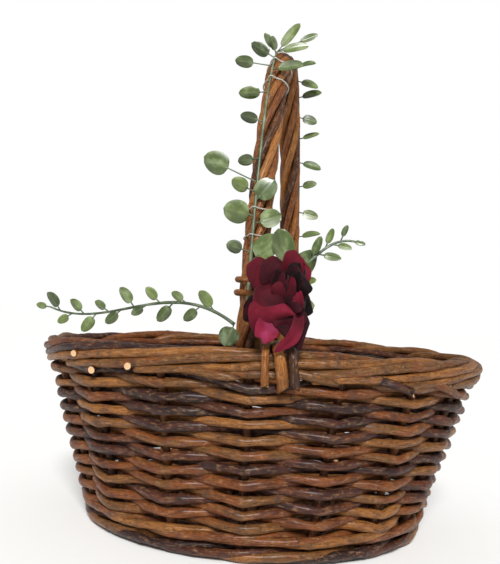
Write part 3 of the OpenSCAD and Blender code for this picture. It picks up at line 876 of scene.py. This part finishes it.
def make_garland():
    stem("vine_stem_front", front_vine(np.linspace(14, 83, 60)), "vine_stem_front")
    stem("vine_stem_back", back_vine(np.linspace(95, 159, 60)), "vine_stem_back")
    stem("vine_stem_left_sprig", bezier(LEFT_SPRIG, 60), "vine_stem_left_sprig")
    stem("vine_stem_right_sprig", bezier(RIGHT_SPRIG, 40), "vine_stem_right_sprig")

    rng, mesh = draws("vine_leaves_front"), Mesh()
    for a, yaw, pitch, roll, length, width, stalk in FRONT_LEAVES:
        leaf(mesh, front_vine(a)[0], yaw, pitch, roll, length, width, rng, stalk)
    mesh.piece("vine_leaves_front", [LEAF, STEM], "vine_leaf", ["vine_leaves_front"])

    rng, mesh = draws("vine_leaves_back"), Mesh()
    for i in range(11):
        leaf(mesh, back_vine(97 + 6 * i)[0], -8 + 12 * (i % 2), 12 - 24 * (i % 2), 50 + 9 * (i % 4),
             13 + 2 * (i % 3), 8 + i % 2, rng)
    mesh.piece("vine_leaves_back", [LEAF, STEM], "vine_leaf", ["vine_leaves_back"])

    rng, mesh = draws("vine_leaves_left_sprig"), Mesh()
    line = bezier(LEFT_SPRIG, 101)
    for i in range(13):
        up = 1 if i % 2 == 0 else -1
        leaf(mesh, line[10 + 7 * i], 178, up * (52 - 9 * (i % 3)), 78 + 8 * (i % 2),
             13 - 2 * (i % 3), 8 - i % 3, rng)
    leaf(mesh, line[-1], 170, 5, 80, 9, 5, rng)
    leaf(mesh, line[0], 182, -68, 80, 13, 13, rng, 1.5)
    mesh.piece("vine_leaves_left_sprig", [LEAF, STEM], "vine_leaf", ["vine_leaves_left_sprig"])

    rng, mesh = draws("vine_leaves_right_sprig"), Mesh()
    line = bezier(RIGHT_SPRIG, 101)
    leaf(mesh, line[0], 172, 72, 82, 22, 15, rng, 8)
    for i in range(6):
        up = 1 if i % 2 == 0 else -1
        leaf(mesh, line[30 + 11 * i], -5, 30 + up * 40, 75, 13 - 1.2 * i, 6 - 0.5 * i, rng)
    mesh.piece("vine_leaves_right_sprig", [LEAF, STEM], "vine_leaf", ["vine_leaves_right_sprig"])

    rng, mesh = draws("vine_ties"), Mesh()
    for a in (30, 35.2, 66, 74):
        turn = np.linspace(0, TAU, 72)
        line = bow(np.full(72, float(a)) + np.linspace(-0.15, 0.15, 72))
        beside = (turn - STEM_SIDE + math.pi) % TAU - math.pi
        lift = 0.45 + 0.1 * np.cos(6 * turn) + (2 * VINE_R + 0.8) * np.exp(-((beside / 0.24) ** 2))
        mesh.rod(around(line, BUNDLE_R + lift, turn), 0.5, rng, sides=8, knots=0)
    mesh.piece("vine_ties", [CLEAR], "clear_tie", ["vine_ties"])


# ---- rose -------------------------------------------------------------------------------
ROSE_AT = np.array([27.0, -114.0, 171.0])
ROSE_TURN = np.array(Matrix.Rotation(math.radians(-30), 3, "Z")
                     @ Matrix.Rotation(math.radians(72), 3, "X"))
# the petals are laid out as seen from the front: right, up and forwards from the rose's middle
ROSE_FACE = np.array(Matrix.Rotation(math.radians(7.5), 3, "Z") @ Matrix.Rotation(math.radians(-3), 3, "Y")
                     @ Matrix(((1, 0, 0), (0, 0, -1), (0, 1, 0))))
# each petal: foot, middle and lip, then its width, cup, twist, point, ruffle and tone. The tone is
# partly the cloth's own depth of red and partly painted shade: most petals towards the right, turned
# away from the light, are given near-black tones.
PETALS = {
    "rose_petals_outer": [
        ((0, -6, -7), (-9, 10, -1), (-10, 21, -5), 24, -0.25, -10, 0.4, 0.6, 0.42),
        ((2, -2, -6), (-12, 4, 3), (-20, 5, -5), 25, -0.30, 5, 0.1, 0.5, 0.46),
        ((2, -6, -9), (8, 11, -5), (11.5, 20, -8), 19, -0.20, 10, 0.9, 0.8, 0.62),
        ((2, 2, -7), (-13, -10, 0), (-21, -18, -4), 21, 0.15, 0, 0.3, 0.8, 0.10),
        ((3, 2, -7), (5, -16, 4), (8, -28, 10), 20, 0.15, 15, 0.7, 0.8, 0.10),
        ((-2, -4, -3), (-9, -19, 9), (-15, -30, 13), 15, 0.10, 8, -0.3, 0.5, 0.80),
        ((8, -7, 0), (7, -21, 13), (-3, -33, 15), 8.5, 0.45, 20, 0.6, 0.4, 0.66),
        ((-4, -2, -6), (6, 0, -3), (12, 4, -9), 34, -0.18, 0, 0.3, 0.9, 0.03)],
    "rose_petals_middle": [
        ((3, -4, -4), (5, 14, 2), (7, 25, 0), 15, 0.45, -15, 0.5, 0.5, 0.55),
        ((-4, -21, 2), (-7, -15, 10), (-6, -4, 10), 30, -0.10, 0, -0.2, 0.6, 0.60),
        ((0, -5, 1), (1, -15, 8), (-1, -24, 6), 24, -0.12, 0, 0.2, 2.0, 0.30),
        ((-3, 2, -2), (8, 5, 5), (14, 5, -3), 27, -0.20, 0, 0.2, 0.7, 0.02),
        ((-2, -3, -1), (6, -8, 6), (12, -12, -2), 24, -0.15, 0, 0.4, 0.9, 0.04),
        ((-4, 0, 0), (-5, 11, 6), (1, 17, 4), 20, -0.2, 0, 0.4, 0.8, 0.30)],
    "rose_petals_inner": [
        ((0, -8, 3), (0, 2, 11), (-1, 9.5, 9), 15, 0.20, 5, -0.2, 0.6, 0.44),
        ((8, -14, 4), (8.5, -5, 11), (7, 1, 9), 7, 0.3, 20, 0.3, 0.4, 0.64),
        ((5, -6, 4), (-6, -2, 10), (-13, 5, 5), 23, -0.2, -10, 0.3, 0.6, 0.36),
        ((0, -10, 3), (5, -5, 10), (12, -3, 7), 16, 0.15, 10, 0.4, 0.8, 0.18),
        ((2, -3, 0), (8, 6, 8), (13, 11, 3), 19, 0.25, 0, 0.4, 0.8, 0.06)],
    "rose_bud": [
        ((2, -2, 2), (2, 6, 9), (3, 13, 6.5), 17, 0.65, 10, 0.3, 0.5, 0.03),
        ((5, -1, 4), (5, 5, 10), (5, 10, 8), 10, 0.8, -20, 0.4, 0.4, 0.12),
        ((-2, 0, 4), (-3, 6, 10), (-2, 12.5, 8), 9, 0.5, 25, 0.4, 0.4, 0.30)]}


def petal(name, node, rng, foot, middle, lip, width, cup, twist, point, ruffle, tone):
    """One cut cloth petal from its foot to its lip, crumpled, with its edges a little rolled."""
    v = np.linspace(0, 1, 21)
    u = np.linspace(-1, 1, 21)[:, None]
    foot, middle, lip = (np.array(p, float) for p in (foot, middle, lip))
    bend = 2 * middle - (foot + lip) / 2
    line = (1 - v[:, None]) ** 2 * foot + 2 * v[:, None] * (1 - v[:, None]) * bend + v[:, None] ** 2 * lip
    length = run_length(line)[-1]
    along = unit(np.gradient(line, axis=0))
    across = unit(np.cross(along, (0, 0, 1)))
    face = np.cross(across, along)
    a = math.radians(twist)
    across, face = (math.cos(a) * across + math.sin(a) * face,
                    math.cos(a) * face - math.sin(a) * across)
    half = width / 2 * np.sin(np.pi * (0.11 + 0.60 * v**0.85)) ** 0.65
    phase = rng.uniform(0, TAU, 5)
    edge = np.abs(u)
    reach = length * v**3 * (0.22 * point * (1 - edge**1.3) - 0.20 * edge**3.2
                             + 0.05 * ruffle * np.sin(5 * u + phase[0]))
    half = half * (1 + 0.05 * ruffle * np.sin(7 * v + phase[1]))
    lift = cup * width * 0.5 * u**2 * v**0.6 - 1.6 * np.clip((v - 0.78) / 0.22, 0, 1) ** 2
    lift = lift + ruffle * (0.7 * v**2 * np.sin(6 * u + phase[2])
                            + 0.55 * np.sin(4.5 * u + phase[3]) * np.sin(6 * v + phase[4]) * v)
    points = (line[None] + (half * u)[..., None] * across[None] + reach[..., None] * along[None]
              + lift[..., None] * face[None])
    mesh = Mesh()
    space = np.stack([np.broadcast_to(v * length, lift.shape), u * half, 0 * lift], -1)
    # painted shade, full at the petal's foot and gone three quarters of the way to its lip
    painted_foot_shade = np.broadcast_to(np.clip(1 - v * 1.35, 0, 1), lift.shape)
    mesh.grid(ROSE_AT + points @ ROSE_FACE.T, space, tone, 0, painted_foot_shade.reshape(-1))
    obj = mesh.piece(name, [PETAL], "rose_petal", [node], subsurf=1, solidify=0.45)
    a, b, c, d = points[:-1, :-1], points[1:, :-1], points[1:, 1:], points[:-1, 1:]
    return obj


def make_rose():
    for node, petals in PETALS.items():
        rng = draws(node)
        for k, shape in enumerate(petals, 1):
            petal(f"{node}_{k}", node, rng, *shape)


# the sepals that show past the petals: foot, length and width, and the way each points
SEPALS = (((4, 8, -10), (26, 15), 48), ((2, -8, -9), (26, 7), -118), ((8, -4, -8), (13, 8), -22))


def make_calyx():
    """The green cup, sepals and cut stem behind the petals."""
    rng, mesh = draws("rose_calyx"), Mesh()
    profile = np.array([[2.0, -9], [2.2, -5], [4.5, -4.4], [7.2, -2.0], [8.0, -0.6], [5.0, 0.2]])
    a = np.linspace(0, TAU, 33)
    ring = np.stack([profile[:, :1] * np.cos(a), profile[:, :1] * np.sin(a),
                     np.broadcast_to(profile[:, 1:], (len(profile), 33))], -1)
    mesh.grid(ROSE_AT + ring @ ROSE_TURN.T, ring, 0.4)
    for k in range(5):
        u = np.linspace(0, 1, 12)[:, None]
        v = np.linspace(-1, 1, 7)[None]
        half = 3.0 * np.sin(np.pi * (0.18 + 0.8 * u)) ** 0.8
        turn = TAU / 5 * k + 0.2
        r = 4 + 13.5 * u + 0 * v
        h = -1.4 - 1.5 * u**2 - 0.4 * v**2
        x, y = r * np.cos(turn) - half * v * np.sin(turn), r * np.sin(turn) + half * v * np.cos(turn)
        points = np.stack([x, y, np.broadcast_to(h, r.shape)], -1)
        mesh.grid(ROSE_AT + points @ ROSE_TURN.T, points, rng.uniform(), 0)
    for at, size, turn in SEPALS:
        u = np.linspace(0, 1, 12)[:, None]
        v = np.linspace(-1, 1, 9)[None]
        half = size[1] / 2 * np.sin(np.pi * (0.06 + 0.88 * u)) ** 0.6
        x, y = size[0] * u + 0 * v, half * v
        turn = math.radians(turn)
        points = np.stack([at[0] + x * math.cos(turn) - y * math.sin(turn),
                           at[1] + x * math.sin(turn) + y * math.cos(turn),
                           at[2] - 0.03 * y**2 - 0.02 * x**2], -1)
        mesh.grid(ROSE_AT + points @ ROSE_FACE.T, points, rng.uniform(0, 0.5), 0)
    mesh.piece("rose_calyx", [LEAF], "rose_calyx", ["rose_calyx"], solidify=0.6, subsurf=1)


# ---- camera, light and floor ------------------------------------------------------------
SKY_LIGHT = 0.40             # the room's light from all round


def make_camera():
    """The photographer's place, nearly level with the rim and a little right of the middle."""
    yaw, pitch, tilt = math.radians(7.53), math.radians(-2.14), math.radians(2.99)
    forward = Vector((-math.sin(yaw) * math.cos(pitch), math.cos(yaw) * math.cos(pitch), -math.sin(pitch)))
    level = Vector((math.cos(yaw), math.sin(yaw), 0))
    up = level.cross(forward)
    right = math.cos(tilt) * level + math.sin(tilt) * up
    up = math.cos(tilt) * up - math.sin(tilt) * level
    camera = bpy.data.cameras.new("camera")
    camera.sensor_width = 36
    camera.lens = 41.9
    obj = bpy.data.objects.new("camera", camera)
    bpy.context.collection.objects.link(obj)
    turn = Matrix((right, up, -forward)).transposed().to_4x4()
    obj.matrix_world = Matrix.Translation((0.0593, -0.5170, 0.1618)) @ turn
    bpy.context.scene.camera = obj


def make_studio():
    floor = bpy.data.meshes.new("floor")
    side = 6.0
    floor.from_pydata([(-side, -side, 0), (side, -side, 0), (side, side, 0), (-side, side, 0)], [],
                      [(0, 1, 2, 3)])
    obj = bpy.data.objects.new("floor", floor)
    bpy.context.collection.objects.link(obj)
    m = Material("floor_paper", Specular_IOR_Level=0.1)
    obj.data.materials.append(m.finish(colour("#f7f7f5"), 0.9))
    world = bpy.data.worlds.new("studio")
    bpy.context.scene.world = world
    world.use_nodes = True
    tree = world.node_tree
    sky = tree.nodes["Background"]
    sky.inputs["Color"].default_value = (1, 1, 1, 1)
    seen = tree.nodes.new("ShaderNodeLightPath")
    strength = tree.nodes.new("ShaderNodeMapRange")
    strength.inputs["To Min"].default_value = SKY_LIGHT
    strength.inputs["To Max"].default_value = 1.0
    tree.links.new(seen.outputs["Is Camera Ray"], strength.inputs["Value"])
    tree.links.new(strength.outputs[0], sky.inputs["Strength"])
    data = bpy.data.lights.new("key", "SUN")
    data.energy, data.angle = 3.4, math.radians(18)
    key = bpy.data.objects.new("key", data)
    bpy.context.collection.objects.link(key)
    key.rotation_euler = Vector((-0.15, 0.95, -0.85)).to_track_quat("-Z", "Y").to_euler()
    bpy.context.scene.view_settings.view_transform = "Standard"


make_camera()
for row_index, row_name in enumerate(ROWS, 1):
    make_row(row_index, row_name)
make_stakes()
make_foot_wale()
make_base()
make_border()
make_handle()
make_bindings()
make_lashings()
make_garland()
make_rose()
make_calyx()
make_studio()
